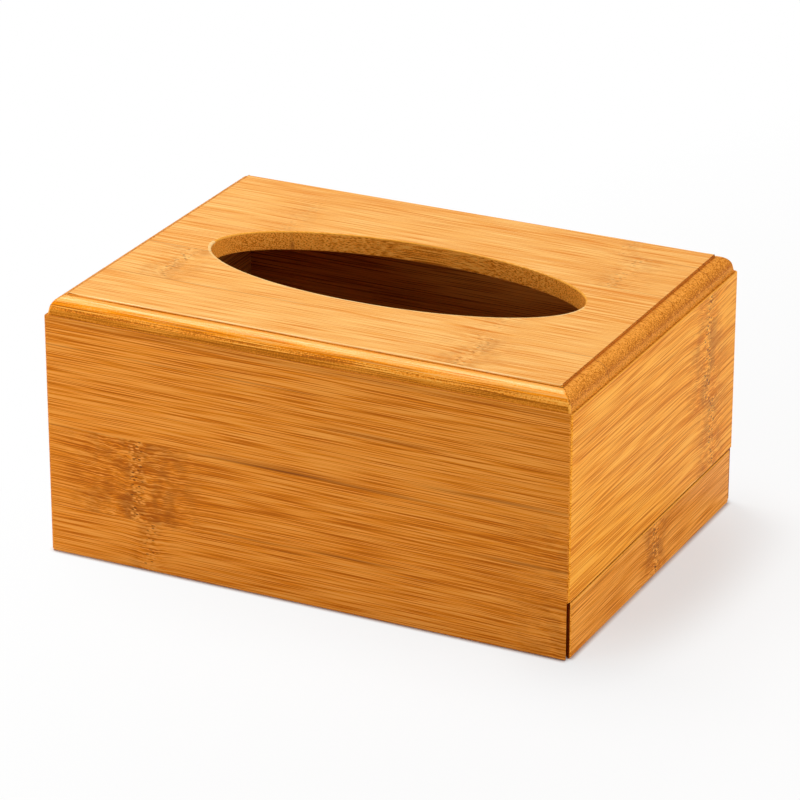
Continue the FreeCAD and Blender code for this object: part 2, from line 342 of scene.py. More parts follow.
# %% Marks over the fibres
# Each mark: its length and width in millimetres, where in its cell it ends, and how strongly it covers.
BUNDLE = (18.0, 1.2)
BUNDLE_EDGES = (0.1, 0.3)
BUNDLE_SHARE = 0.12
PIT = (1.9, 0.8)
PIT_EDGES = (0.16, 0.36)
PIT_SHARE = 0.85
FLECK_EDGES = (0.2, 0.5)
FLECK_SHARE = 0.9
SMUDGE = (6.0, 8.0)
SMUDGE_LEVELS = (0.4, 0.7)
SMUDGE_SHARE = 0.45


def specks(tree, place, size, edges, share):
    """Spots of about the given length and width, scattered one to a cell."""
    length, width = size
    cells = (1 / length, 1 / width, 1 / width)
    drawn_out = add(tree, "VectorMath", {0: place, 1: cells}, operation="MULTIPLY")[0]
    distance = add(tree, "TexVoronoi", {"Vector": drawn_out, "Scale": 1.0})["Distance"]
    return add(tree, "MapRange", {0: distance, 1: edges[0], 2: edges[1], 3: share, 4: 0.0},
               interpolation_type="SMOOTHSTEP")[0]


def knuckle_marks(tree, place, shifted, bent, row, broken):
    """Masks of the smudges beside a knuckle, and of the flecks and pits in its row."""
    blots = grain_noise(tree, bent, *SMUDGE)
    shown = add(tree, "MapRange", {0: blots, 1: SMUDGE_LEVELS[0], 2: SMUDGE_LEVELS[1], 3: 0.0,
                                   4: SMUDGE_SHARE}, interpolation_type="SMOOTHSTEP")[0]
    smudge = add(tree, "Math", {0: shown, 1: broken}, operation="MULTIPLY")[0]
    flecks = specks(tree, shifted, PIT, FLECK_EDGES, FLECK_SHARE)
    fleck = add(tree, "Math", {0: flecks, 1: row}, operation="MULTIPLY")[0]
    pits = specks(tree, place, PIT, PIT_EDGES, PIT_SHARE)
    pit = add(tree, "Math", {0: pits, 1: row}, operation="MULTIPLY")[0]
    return smudge, fleck, pit


print("pits of", PIT[0], "by", PIT[1], "mm")

# %% [markdown]
# Now the whole finish: bamboo steamed until it turns to caramel, planed, sanded and sprayed with a satin
# lacquer. The lacquer is a clear film with an index near 1.5, rough enough to blur reflections, with a warm
# sheen. It dips a little into the open fibres and the pits, which breaks up the shine. One function makes
# every face of the box, so that boards differ only in the ways that real ones do.

# %% The finish
GLUE_SHARE = 0.6
PIT_DEPTH = 2.0
RELIEF_HEIGHT = 0.06 * MM
SHEEN_LEVELS = (0.3, 0.7)
SHEEN_SPREAD = 0.06
LACQUER_INDEX = 1.5
SHINE = "#FFE2B0"


def bamboo(name, tones, turn, first_seam, knuckles=(), streaks=(), contrast=1.0, crispness=1.0, gloss=0.14,
           roughness=0.36, stipple=0.0, relief_share=0.35, deepening=None, seed=0.0):
    """Caramel bamboo under satin lacquer, from its five tones and the way that its board lies."""
    finish = bpy.data.materials.new(name)
    finish.use_nodes = True
    tree = finish.node_tree
    tree.nodes.clear()
    pale, middle, dark, pitted, stained = [linear(code) for code in tones]

    place = place_in_board(tree, turn)
    strip_tone, shifted, glue = strips_of_board(tree, place, first_seam, seed)
    row, broken = knuckle_masks(tree, place, knuckles)
    bent = bent_place(tree, shifted, broken)
    tone, finest = fibre_tone(tree, bent, broken, strip_tone, contrast, crispness)
    relief = finest
    if stipple:
        tone, relief = stippled(tree, place, tone, finest, stipple)
    if deepening:
        tone = deepened(tree, place, tone, *deepening)
    colour = coloured(tree, tone, pale, middle, dark)

    bundle = specks(tree, bent, BUNDLE, BUNDLE_EDGES, BUNDLE_SHARE * contrast)
    streak = streak_mask(tree, place, streaks)
    glue = add(tree, "Math", {0: glue, 1: GLUE_SHARE * contrast, 2: streak}, operation="MULTIPLY_ADD",
               use_clamp=True)[0]
    smudge, fleck, pit = knuckle_marks(tree, place, shifted, bent, row, broken)
    for mask, over in ((bundle, dark), (glue, stained), (smudge, stained), (fleck, pale), (pit, pitted)):
        colour = add(tree, "Mix", {0: mask, 6: colour, 7: over}, data_type="RGBA")[2]

    relief = add(tree, "Math", {0: pit, 1: -PIT_DEPTH, 2: relief}, operation="MULTIPLY_ADD")[0]
    bump = add(tree, "Bump", {"Strength": relief_share, "Distance": RELIEF_HEIGHT, "Height": relief})[0]
    sheen = add(tree, "MapRange", {0: finest, 1: SHEEN_LEVELS[0], 2: SHEEN_LEVELS[1],
                                   3: roughness - SHEEN_SPREAD, 4: roughness + SHEEN_SPREAD})[0]
    shader = add(tree, "BsdfPrincipled", {"Base Color": colour, "Roughness": sheen, "IOR": LACQUER_INDEX,
                                          "Specular IOR Level": gloss, "Specular Tint": linear(SHINE),
                                          "Normal": bump})[0]
    add(tree, "OutputMaterial", {"Surface": shader})
    print("finish:", name, "with", len(tree.nodes), "nodes and", len(knuckles), "knuckles")
    return finish


# %% [markdown]
# The boards of the walls. The long walls, the end walls and the strip on the base come from different
# sheets, so each has its own tones and its own knuckles. The front is the darkest, a burnt orange. The ends
# are brighter and more even, with crisp fibres. Knuckles and streaks are placed in millimetres in the frame
# of the box, along the wall and up it, so each can be set where the real box has it.

# %% Finishes of the walls
WALL_SEAM = 15.4
STRIP_SEAM = WALL_SEAM - STRIP_WIDTH
# Pale, middle and dark fibre, pits, stain.
FRONT_TONES = ("#EC9C42", "#E0841C", "#B45A06", "#643008", "#8C4A16")
END_TONES = ("#F8B042", "#EE941A", "#C86C04", "#6A360A", "#A46018")
STRIP_TONES = ("#F2A648", "#E48C1E", "#B86406", "#552604", "#8C4A16")
END_LOOK = {"contrast": 0.7, "crispness": 1.7, "gloss": 0.1}

FRONT_KNUCKLES = (
    (-53.3, 15.4, 40.4, 1.2, 30.0),
    (-49.5, -9.6, 15.4, 0.8, 10.0),
    (92.0, 15.4, 40.4, 0.5, 40.0),
    (90.0, -9.6, 15.4, 0.6, 40.0),
)
# The last streak runs the whole length, faintly, just under the moulding: a painted shade.
FRONT_STREAKS_AND_SHADE = (
    (-4.0, 40.2, 46.0, 0.5, 0.75),
    (-8.0, 40.9, 34.0, 1.7, 0.4),
    (30.0, 39.8, 30.0, 0.6, 0.5),
    (62.0, 44.5, 34.0, 0.9, 0.6),
    (70.0, 27.0, 30.0, 0.8, 0.6),
    (15.0, 17.4, 28.0, 0.7, 0.6),
    (-16.0, 17.0, 20.0, 0.6, 0.5),
    (24.0, 56.0, 30.0, 1.3, 0.4),
    (0.0, 73.0, 400.0, 1.6, 0.25),
)
BACK_KNUCKLES = (
    (34.0, 40.4, 65.4, 0.9, 24.0),
    (38.0, 15.4, 40.4, 0.8, 16.0),
    (-90.0, 65.4, 90.4, 0.6, 30.0),
)
LEFT_KNUCKLES = (
    (-22.0, 15.4, 40.4, 0.8, 20.0),
    (30.0, 40.4, 65.4, 0.7, 14.0),
)
RIGHT_KNUCKLES = (
    (37.5, 40.4, 65.4, 1.3, 20.0),
    (38.5, 65.4, 90.4, 1.2, 18.0),
    (42.0, 15.4, 40.4, 1.1, 16.0),
)
# This one runs past its seam, up to the gap above the strip.
STRIP_KNUCKLES = ((1.5, -9.6, 25.0, 1.3, 14.0),)

front_bamboo = bamboo("front_bamboo", FRONT_TONES, STANDING_LENGTHWISE, WALL_SEAM, FRONT_KNUCKLES,
                      FRONT_STREAKS_AND_SHADE, contrast=0.75, crispness=1.25, seed=268.0)
back_bamboo = bamboo("back_bamboo", FRONT_TONES, STANDING_LENGTHWISE, WALL_SEAM, BACK_KNUCKLES, seed=11.0)
left_bamboo = bamboo("left_bamboo", END_TONES, STANDING_CROSSWISE, WALL_SEAM, LEFT_KNUCKLES, **END_LOOK,
                     seed=19.0)
right_bamboo = bamboo("right_bamboo", END_TONES, STANDING_CROSSWISE, WALL_SEAM, RIGHT_KNUCKLES, **END_LOOK,
                      seed=183.0)
strip_bamboo = bamboo("strip_bamboo", STRIP_TONES, STANDING_CROSSWISE, STRIP_SEAM, STRIP_KNUCKLES, **END_LOOK,
                      seed=35.0)

# %% [markdown]
# The top board and its cut faces. They are cuts through one board, so they share its lie, its seams and its
# seed, and the grain runs from the flat over the edge. What differs is the tone and the sheen: a cut along
# the fibres shines, and a cut across them drinks stain and turns dull. The sawn faces of the walls borrow the
# last finish, because too little of their grain shows to tell.

# %% Finishes of the top
TOP_SEAM = 17.0
TOP_SEED = 232.0
TOP_TONES = ("#FDC676", "#F5AB4E", "#E08426", "#8A4A14", "#B87230")
CUT_MARKS = ("#552806", "#8C4C1E")
LONG_ROUND_TONES = ("#FFB65C", "#FF9806", "#D87606", *CUT_MARKS)
END_ROUND_TONES = ("#F0A042", "#E08C2C", "#AC5A08", *CUT_MARKS)
TORN_TONES = ("#FFB850", "#FA9622", "#B4600E", *CUT_MARKS)
MOUTH_PAINTED_LIGHT_TONES = ("#FFB04A", "#F8962C", "#BA6814", *CUT_MARKS)
FACET_TONES = ("#EA9A38", "#D6821E", "#A25A10", *CUT_MARKS)
SAWN_AND_SHADE_TONES = ("#C8741E", "#B05C10", "#804008", "#552806", "#7A440E")
# The heights of crest and foot in millimetres, and how the tone changes at each.
# On the long rounds the paler crest is a painted highlight.
LONG_ROUND_CREST_HIGHLIGHT = (79.2, 78.2, -0.25, 0.0)
END_ROUND_DEPTH = (79.0, 76.4, -0.1, 0.35)
TOP_KNUCKLES = (
    (52.5, 42.0, 67.0, 0.5, 14.0),
    (59.5, 17.0, 42.0, 0.6, 16.0),
    (-46.0, 17.0, 42.0, 0.3, 12.0),
    (-61.0, -33.0, -8.0, 0.9, 14.0),
    (43.0, -33.0, -8.0, 0.4, 14.0),
    (45.5, -58.0, -33.0, 0.9, 16.0),
)


def lying_bamboo(name, tones, seed=TOP_SEED, **look):
    """A face of a board that lies as the top does."""
    return bamboo(name, tones, LYING_LENGTHWISE, TOP_SEAM, seed=seed, **look)


top_bamboo = lying_bamboo("top_bamboo", TOP_TONES, knuckles=TOP_KNUCKLES, contrast=1.15, gloss=0.25)
# Routed along the fibres: bright lines, a tight sheen, and a paler crest that is a painted highlight.
long_round_bamboo = lying_bamboo("long_round_bamboo", LONG_ROUND_TONES, gloss=0.3, roughness=0.26,
                                 stipple=0.55, relief_share=0.9, deepening=LONG_ROUND_CREST_HIGHLIGHT)
# Routed across the fibres: peppered end grain, dull and darker towards its foot.
end_round_bamboo = lying_bamboo("end_round_bamboo", END_ROUND_TONES, gloss=0.08, stipple=1.0,
                                relief_share=0.8, deepening=END_ROUND_DEPTH)
# The foot of the long rounds, where the cutter lifts the fibres: rough and speckled.
torn_bamboo = lying_bamboo("torn_bamboo", TORN_TONES, gloss=0.3, stipple=1.2, relief_share=0.8)
# The wall of the mouth, routed along and across the fibres by turns. Its tones are paler than the walls',
# partly a painted light for a wall that lies in partial shade.
mouth_painted_light_bamboo = lying_bamboo("mouth_painted_light_bamboo", MOUTH_PAINTED_LIGHT_TONES, stipple=0.8, relief_share=0.8)
# The leaning flat under the rounds, the long steps and the ends' ledges: browner, with little shine. On the
# ends' ledges the brown is a painted shade under the moulding.
facet_bamboo = lying_bamboo("facet_bamboo", FACET_TONES, contrast=0.8, gloss=0.08, stipple=0.8,
                            relief_share=0.8)
# Saw cuts, left as they are: the darkest faces, with little shine. Their darkness is partly their own, and
# partly a painted shade in the gaps, the seam above the strip and the steps at the ends.
sawn_and_shade_bamboo = lying_bamboo("sawn_and_shade_bamboo", SAWN_AND_SHADE_TONES, gloss=0.1)

# %% [markdown]
# The narrow faces and the hidden ones. Sandpaper wears the stain off an edge, and lacquer beads there, so
# worn edges are paler and glossier than the flats; that paleness is partly a painted highlight, and the rim
# by the mouth is a painted highlight only. The ledges of the long walls are a darker brown, a painted shade.
# Inside, and on the base and the keys, nobody sprays lacquer: raw bamboo is duller and scatters more light.
# The base is also darker than the walls, which keeps the inside of the box in painted shade.

# %% Finishes of edges, inside, base and keys
EDGE_SEED = 67.0
RAW_ROUGHNESS = 0.6
RAW_MARKS = ("#44260C", "#664222")
EDGE_MARKS = ("#552806", "#A06428")
LEDGE_SHADE_TONES = ("#D68A34", "#C47018", "#9C560C", *CUT_MARKS)
ARRIS_WEAR_AND_HIGHLIGHT_TONES = ("#F8B24C", "#EE9C30", "#CE7E1C", *EDGE_MARKS)
RIM_HIGHLIGHT_TONES = ("#FFD898", "#FCC676", "#EEAA4C", *EDGE_MARKS)
INSIDE_TONES = ("#DC903C", "#C67428", "#944E12", *RAW_MARKS)
BASE_RAW_AND_SHADE_TONES = ("#B5844C", "#996633", "#744A20", *RAW_MARKS)
KEY_TONES = ("#D9AE74", "#C0905A", "#95693A", "#5B3413", "#80573A")
BASE_KNUCKLES = (
    (12.0, -33.0, -8.0, 0.7, 20.0),
    (-40.0, 17.0, 42.0, 0.7, 16.0),
    (18.0, -8.0, 17.0, 0.6, 20.0),
)

# A darker brown on the long walls' ledges and upper edges, under the moulding: a painted shade.
ledge_shade_bamboo = lying_bamboo("ledge_shade_bamboo", LEDGE_SHADE_TONES, seed=EDGE_SEED, contrast=0.8, gloss=0.08)
# Pale stain worn off the edges, and partly a painted highlight on the top's corners and rims.
arris_wear_and_highlight_bamboo = lying_bamboo("arris_wear_and_highlight_bamboo", ARRIS_WEAR_AND_HIGHLIGHT_TONES, seed=EDGE_SEED, contrast=0.5, gloss=0.2,
                            roughness=0.3)
# Pale and glossy: a painted highlight along the mouth's front and the long edges of the flat.
rim_highlight_bamboo = lying_bamboo("rim_highlight_bamboo", RIM_HIGHLIGHT_TONES, seed=EDGE_SEED, contrast=0.5, gloss=0.6, roughness=0.25)
long_inside_bamboo = bamboo("long_inside_bamboo", INSIDE_TONES, STANDING_LENGTHWISE, WALL_SEAM, gloss=0.1,
                            roughness=RAW_ROUGHNESS, seed=11.0)
end_inside_bamboo = bamboo("end_inside_bamboo", INSIDE_TONES, STANDING_CROSSWISE, WALL_SEAM, gloss=0.1,
                           roughness=RAW_ROUGHNESS, seed=19.0)
# Darker than the walls, so that the inside of the box stays dark: partly a painted shade.
base_raw_and_shade_bamboo = lying_bamboo("base_raw_and_shade_bamboo", BASE_RAW_AND_SHADE_TONES, knuckles=BASE_KNUCKLES, roughness=RAW_ROUGHNESS,
                           seed=51.0)
key_bamboo = bamboo("key_bamboo", KEY_TONES, STANDING_LENGTHWISE, WALL_SEAM, roughness=RAW_ROUGHNESS,
                    seed=59.0)

# %% [markdown]
# Every new piece ends the same way: its mesh goes into an object at the origin, which rides on a body of
# the frame, stands for its plain solid and takes its finishes. Faces are shaded smooth except across sharp
# edges, and weighted normals keep the flats flat right up to their rounded edges.

# %% Turning a mesh into a piece
SHARP_ANGLE = math.radians(32)


def make_piece(name, bm, body, node, slot, *finishes):
    """Turns a bmesh into a named piece of the box."""
    bmesh.ops.recalc_face_normals(bm, faces=bm.faces)
    mesh = bpy.data.meshes.new(name)
    bm.to_mesh(mesh)
    bm.free()
    for finish in finishes:
        mesh.materials.append(finish)
    mesh.shade_smooth()
    mesh.set_sharp_from_angle(angle=SHARP_ANGLE)
    piece = bpy.data.objects.new(name, mesh)
    bpy.context.scene.collection.objects.link(piece)
    weighted = piece.modifiers.new("flat_faces", "WEIGHTED_NORMAL")
    weighted.keep_sharp = True
    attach(piece, body)
    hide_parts(node)
    print("piece:", name, len(mesh.polygons), "faces")


# %% [markdown]
# A wall is a planed board with a groove for the base, cut at 45 degrees at both ends so that two walls meet
# in a mitre. It could be drawn corner by corner, but the maker's way is shorter: draw the section, extrude
# it along the run, ease the edges, then saw both ends with a plane and close the cuts. Easing the upright
# edge before the cut leaves each wall half of the corner's rounding, and the halves meet without a step.

# %% Easing, sawing and closing
# Places closer than this, in metres, are one place.
SAME = 1e-6


def ease(bm, edges, radius, segments, clamp=True):
    """Rounds the given edges. Gives the new faces."""
    made = bmesh.ops.bevel(bm, geom=edges, offset=radius, offset_type="OFFSET", affect="EDGES",
                           segments=segments, profile=0.5, material=-1, clamp_overlap=clamp)
    return made["faces"]


def saw(bm, place, keep, clear=True):
    """Cuts along a plane, and takes off what lies behind it unless told only to score."""
    everything = bm.verts[:] + bm.edges[:] + bm.faces[:]
    bmesh.ops.bisect_plane(bm, geom=everything, dist=SAME, plane_co=place, plane_no=keep, clear_inner=clear)


def close_cuts(bm):
    """Fills every open cut."""
    bmesh.ops.holes_fill(bm, edges=[edge for edge in bm.edges if edge.is_boundary], sides=0)


print("places are one within", SAME / MM, "mm")

# %% [markdown]
# A thin key lies across each mitre, in a slot that is sawn into both walls and open at the top until the
# top board covers it. A boolean could cut it, but leaves ragged faces. Instead the outline of the slot is
# scored on the mitre and on the upper edge, the patch on the mitre is pushed in, and the faces that still
# cover the slot are taken off.

# %% Slots for the keys
# Directions that differ by less than this are one direction.
SLIGHT = 1e-3
key_low, key_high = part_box("spline_front_right")
KEY_FOOT = key_low.z
KEY_INSET = cad_box[1].x - (key_low.x + key_high.x) / 2
SLOT_WIDTH = 1.7 * MM
SLOT_DEPTH = 3.1 * MM


def facing(bm, look, place):
    """The face that looks one way and holds a place."""
    for face in bm.faces:
        level = abs((face.verts[0].co - place).dot(look)) < SAME
        if level and face.normal.dot(look) > 1 - SLIGHT and bmesh.geometry.intersect_face_point(face, place):
            return face


def cut_key_slot(bm, run, side, high):
    """Cuts the slot for a key into one mitre, open at the top."""
    up = Vector((0, 0, 1))
    into = Vector((-side, -1, 0)).normalized()
    along = Vector((-side, 1, 0)).normalized()
    middle = Vector((side * (run / 2 - KEY_INSET), KEY_INSET, 0))
    mouth = (-into, middle + up * (KEY_FOOT + high) / 2)
    roof = (up, middle + into * SLOT_DEPTH / 2 + up * high)
    cuts = [(where, middle + along * half, along) for half in (-SLOT_WIDTH / 2, SLOT_WIDTH / 2)
            for where in (mouth, roof)]
    cuts += [(mouth, up * KEY_FOOT, up), (roof, middle + into * SLOT_DEPTH, into)]
    for where, plane, normal in cuts:
        face = facing(bm, *where)
        bmesh.ops.bisect_plane(bm, geom=[face, *face.edges, *face.verts], dist=SAME, plane_co=plane,
                               plane_no=normal)
    opening = facing(bm, *mouth)
    pushed = bmesh.ops.extrude_face_region(bm, geom=[opening])["geom"]
    bmesh.ops.translate(bm, verts=[item for item in pushed if isinstance(item, bmesh.types.BMVert)],
                        vec=into * SLOT_DEPTH)
    bmesh.ops.remove_doubles(bm, verts=bm.verts, dist=SAME)
    covers = [face for face in bm.faces if (face.calc_center_median() - roof[1]).length < SLOT_WIDTH / 4]
    bmesh.ops.delete(bm, geom=[opening, *covers], context="FACES")


print("key slots", round(SLOT_WIDTH / MM, 1), "mm wide, from", round(KEY_FOOT / MM, 1), "mm up")

# %% [markdown]
# Beside the strip, the mitres of the long walls are planed back a little, so that the strip runs free. A
# copy of the wall is sawn along the new plane and kept below the foot of the right wall, the wall itself is
# kept above it, and the two are welded. Scoring the upper part along the same plane first gives both parts
# the same points, so the weld leaves no open edge.

# %% The mitre beside the strip
MITRE_RELIEF = 0.4 * MM
RIGHT_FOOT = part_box("right_end_panel")[0].z


def relieve(bm, run, side):
    """Cuts one mitre back below the foot of the right wall, beside the strip."""
    behind = (side * (run / 2 - MITRE_RELIEF * math.sqrt(2)), 0, 0)
    keep = (-side, -1, 0)
    level = (0, 0, RIGHT_FOOT)
    foot = bm.copy()
    saw(foot, behind, keep)
    close_cuts(foot)
    saw(foot, level, (0, 0, -1))
    saw(bm, behind, keep, clear=False)
    saw(bm, level, (0, 0, 1))
    both = bpy.data.meshes.new("foot")
    foot.to_mesh(both)
    foot.free()
    bm.from_mesh(both)
    bpy.data.meshes.remove(both)
    bmesh.ops.remove_doubles(bm, verts=bm.verts, dist=SAME)
    close_cuts(bm)


print("mitres planed back by", round(MITRE_RELIEF / MM, 1), "mm up to", round(RIGHT_FOOT / MM, 1), "mm")

# %% [markdown]
# Now a whole wall, from its section to its place. Painting every face by hand would be long, so a face gets
# its finish from the way it looks: the flat outside, the eased upper edge, the sawn mitres, grooves and
# underside, the raw inside, and the ledge on top, which the top board doesn't quite cover.

# %% Building a wall
WALL_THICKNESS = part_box("front_panel")[1].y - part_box("front_panel")[0].y
CORNER_RADIUS = 1.0 * MM
CORNER_STEPS = 6
FOOT_RADIUS = 0.8 * MM
FOOT_STEPS = 4
ARRIS_RADIUS = 0.3 * MM
ARRIS_STEPS = 3
GROOVE_DEPTH = 3.0 * MM
GROOVE_PLAY = 0.4 * MM
GROOVE_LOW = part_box("base_board")[0].z
GROOVE_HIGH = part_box("base_board")[1].z + GROOVE_PLAY
FLAT, ARRIS, SAWN, INSIDE, LEDGE = range(5)


def outer_edges(bm, height):
    """The edges at one height, without the one on the inner face."""
    level = [edge for edge in bm.edges if all(abs(vert.co.z - height) < SAME for vert in edge.verts)]
    return [edge for edge in level if min(vert.co.y for vert in edge.verts) < WALL_THICKNESS - SAME]


def number_finishes(bm, low):
    """Gives each face the number of its finish."""
    for face in bm.faces:
        inwards, up = face.normal.y, face.normal.z
        mitred = abs(up) < SLIGHT and SLIGHT < inwards < 1 - SLIGHT
        # The ledge under the moulding gets its own finish, which is darker: a painted shade.
        if up > 1 - SLIGHT and face.calc_center_median().z > GROOVE_HIGH:
            face.material_index = LEDGE
        # Level faces, mitres and the right wall's underside take the dark sawn finish, partly a painted
        # shade.
        elif abs(up) > 1 - SLIGHT or mitred or (low > 0 and up < -SLIGHT):
            face.material_index = SAWN
        elif up > SLIGHT:
            face.material_index = ARRIS
        elif inwards > 1 - SLIGHT:
            face.material_index = INSIDE
        else:
            face.material_index = FLAT


def wall(run, low, high, grooved, turn, place, relieved=0, keyed=True):
    """A mitred wall of the given run between two heights, turned about Z and set in its place."""
    bm = bmesh.new()
    outline = [(0, low), (0, high), (WALL_THICKNESS, high)]
    if grooved:
        deep = WALL_THICKNESS - GROOVE_DEPTH
        outline += [(WALL_THICKNESS, GROOVE_HIGH), (deep, GROOVE_HIGH)]
        outline += [(deep, GROOVE_LOW), (WALL_THICKNESS, GROOVE_LOW)]
    outline += [(WALL_THICKNESS, low)]
    section = bm.faces.new([bm.verts.new((-run / 2, y, z)) for y, z in outline])
    pulled = bmesh.ops.extrude_face_region(bm, geom=[section])
    far_end = [item for item in pulled["geom"] if isinstance(item, bmesh.types.BMVert)]
    bmesh.ops.translate(bm, verts=far_end, vec=(run, 0, 0))
    bmesh.ops.recalc_face_normals(bm, faces=bm.faces)

    upright = [edge for edge in bm.edges if all(abs(vert.co.y) < SAME for vert in edge.verts)
               and abs(edge.verts[0].co.x - edge.verts[1].co.x) < SAME]
    ease(bm, upright, CORNER_RADIUS, CORNER_STEPS)
    ease(bm, outer_edges(bm, low), ARRIS_RADIUS if low > 0 else FOOT_RADIUS, FOOT_STEPS)
    ease(bm, outer_edges(bm, high), ARRIS_RADIUS, ARRIS_STEPS)
    for side in (-1, 1):
        saw(bm, (side * run / 2, 0, 0), (-side, -1, 0))
        close_cuts(bm)
    bmesh.ops.recalc_face_normals(bm, faces=bm.faces)
    if keyed:
        for side in (-1, 1):
            cut_key_slot(bm, run, side, high)
    if relieved:
        relieve(bm, run, relieved)
    bmesh.ops.recalc_face_normals(bm, faces=bm.faces)
    number_finishes(bm, low)
    bmesh.ops.rotate(bm, verts=bm.verts, cent=(0, 0, 0), matrix=Matrix.Rotation(turn, 3, "Z"))
    bmesh.ops.translate(bm, verts=bm.verts, vec=place)
    return bm


print("walls", round(WALL_THICKNESS / MM, 1), "mm thick")

# %% [markdown]
# Four walls and a strip. The right wall stops above the strip, which is the bottom of that wall: it is
# glued to the base and slides out with it. So that it runs free it is a little shorter than the wall,
# with mitres set back, and that is the dark gap at its ends. It carries no keys. One function makes all
# five, because they differ only in run, height, grooves and place.

# %% The walls and the strip
low_corner, high_corner = cad_box
CASE_LENGTH = high_corner.x - low_corner.x
CASE_DEPTH = high_corner.y - low_corner.y
WALL_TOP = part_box("front_panel")[1].z
MITRE_GAP = 1.0 * MM
STRIP_RUN = CASE_DEPTH - 2 * MITRE_GAP * math.sqrt(2)
STRIP_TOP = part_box("pull_strip")[1].z
# The finishes after the flat one: arris, sawn, inside, ledge.
# The ledge finishes on both kinds of wall are a painted shade under the moulding.
LONG_EDGES = (ledge_shade_bamboo, sawn_and_shade_bamboo, long_inside_bamboo, ledge_shade_bamboo)
END_EDGES = (arris_wear_and_highlight_bamboo, sawn_and_shade_bamboo, end_inside_bamboo, facet_bamboo)

front = wall(CASE_LENGTH, 0, WALL_TOP, True, 0, (0, low_corner.y, 0), relieved=1)
make_piece("front_wall", front, "case", "front_panel", "bamboo_wall", front_bamboo, *LONG_EDGES)
back = wall(CASE_LENGTH, 0, WALL_TOP, True, math.pi, (0, high_corner.y, 0), relieved=-1)
make_piece("back_wall", back, "case", "back_panel", "bamboo_wall", back_bamboo, *LONG_EDGES)
left = wall(CASE_DEPTH, 0, WALL_TOP, True, -QUARTER, (low_corner.x, 0, 0))
make_piece("left_wall", left, "case", "left_end_panel", "bamboo_wall", left_bamboo, *END_EDGES)
right = wall(CASE_DEPTH, RIGHT_FOOT, WALL_TOP, False, QUARTER, (high_corner.x, 0, 0))
make_piece("right_wall", right, "case", "right_end_panel", "bamboo_wall", right_bamboo, *END_EDGES)
strip = wall(STRIP_RUN, 0, STRIP_TOP, True, QUARTER, (high_corner.x, 0, 0), keyed=False)
make_piece("wall_strip", strip, "sliding_base", "pull_strip", "bamboo_wall", strip_bamboo, *END_EDGES)

# %% [markdown]
# The top board is where the skill shows. A router cuts the oval mouth, then runs round the edge. The board
# could be a block with a hole cut through it, but two rings give cleaner faces: the flat and the underside,
# each a rectangle bridged to the oval, with a narrow band round the mouth that carries a painted highlight.

# %% The flat and the underside
OVAL_LENGTH = 118.0 * MM
OVAL_WIDTH = 49.0 * MM
OVAL_STEPS = 128
RIM_BAND = 1.0 * MM
LONG_SIDE_STEPS = 38
SHORT_SIDE_STEPS = OVAL_STEPS // 2 - LONG_SIDE_STEPS
MOULDING_WIDTH = 4.5 * MM


def edges_in(items):
    """The edges among what an operator gives back."""
    return [item for item in items if isinstance(item, bmesh.types.BMEdge)]


def ring(bm, length, depth, height):
    """A level rectangle with the oval cut out of it. Gives its outline and its rim."""
    lifted = Matrix.Translation((0, 0, height))
    made = bmesh.ops.create_grid(bm, x_segments=1, y_segments=1, size=0.5,
                                 matrix=lifted @ Matrix.Diagonal((length, depth, 1, 1)))
    sheet = made["verts"][0].link_faces[0]
    by_length = sorted(sheet.edges, key=lambda edge: edge.calc_length())
    bmesh.ops.delete(bm, geom=[sheet], context="FACES_ONLY")
    outline = []
    for sides, steps in ((by_length[:2], SHORT_SIDE_STEPS), (by_length[2:], LONG_SIDE_STEPS)):
        outline += edges_in(bmesh.ops.subdivide_edges(bm, edges=sides, cuts=steps - 1)["geom_split"])
    highlight_band_size = Vector((OVAL_LENGTH + 2 * RIM_BAND, OVAL_WIDTH + 2 * RIM_BAND))
    made = bmesh.ops.create_circle(bm, segments=OVAL_STEPS, radius=0.5,
                                   matrix=lifted @ Matrix.Diagonal((*highlight_band_size, 1, 1)))
    border = list({edge for vert in made["verts"] for edge in vert.link_edges})
    bmesh.ops.bridge_loops(bm, edges=outline + border)
    rim = edges_in(bmesh.ops.extrude_edge_only(bm, edges=border)["geom"])
    inwards = (OVAL_LENGTH / highlight_band_size.x, OVAL_WIDTH / highlight_band_size.y, 1)
    bmesh.ops.scale(bm, vec=inwards, verts=list({vert for edge in rim for vert in edge.verts}))
    return outline, rim


board_low, board_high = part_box("top_panel")
BOARD_LENGTH, BOARD_DEPTH = (board_high - board_low).xy
FLAT_LENGTH = BOARD_LENGTH - 2 * MOULDING_WIDTH
FLAT_DEPTH = BOARD_DEPTH - 2 * MOULDING_WIDTH
board = bmesh.new()
flat_outline, upper_rim = ring(board, FLAT_LENGTH, FLAT_DEPTH, board_high.z)
lower_rim = ring(board, BOARD_LENGTH, BOARD_DEPTH, board_low.z)[1]
print("flat of the top, in mm:", round(FLAT_LENGTH / MM, 1), "by", round(FLAT_DEPTH / MM, 1))

# %% [markdown]
# From above, the moulding is a small step, a narrow lip, a round of 80 degrees and a flat that leans out to
# the walls. The outline of the flat is extruded down and out, move by move, which draws it with crisp mitred
# corners; a sweep would need its corners mended. The last rows of the long rounds are torn, the ends show end
# grain, and the step is dark at the ends, a painted shade. The two rims of the oval are bridged to wall the
# mouth.

# %% The moulded edge and the mouth
STEP_HEIGHT = 0.8 * MM
STEP_LIP = 0.2 * MM
ROUND_RADIUS = 4.0 * MM
ROUND_TURN = math.radians(80)
ROUND_STEPS = 12
TORN_STEPS = 3
ON_TOP, LONG_ROUND, TORN, END_ROUND, FACET, STEP, TOP_ARRIS, MOUTH, RIM = range(9)


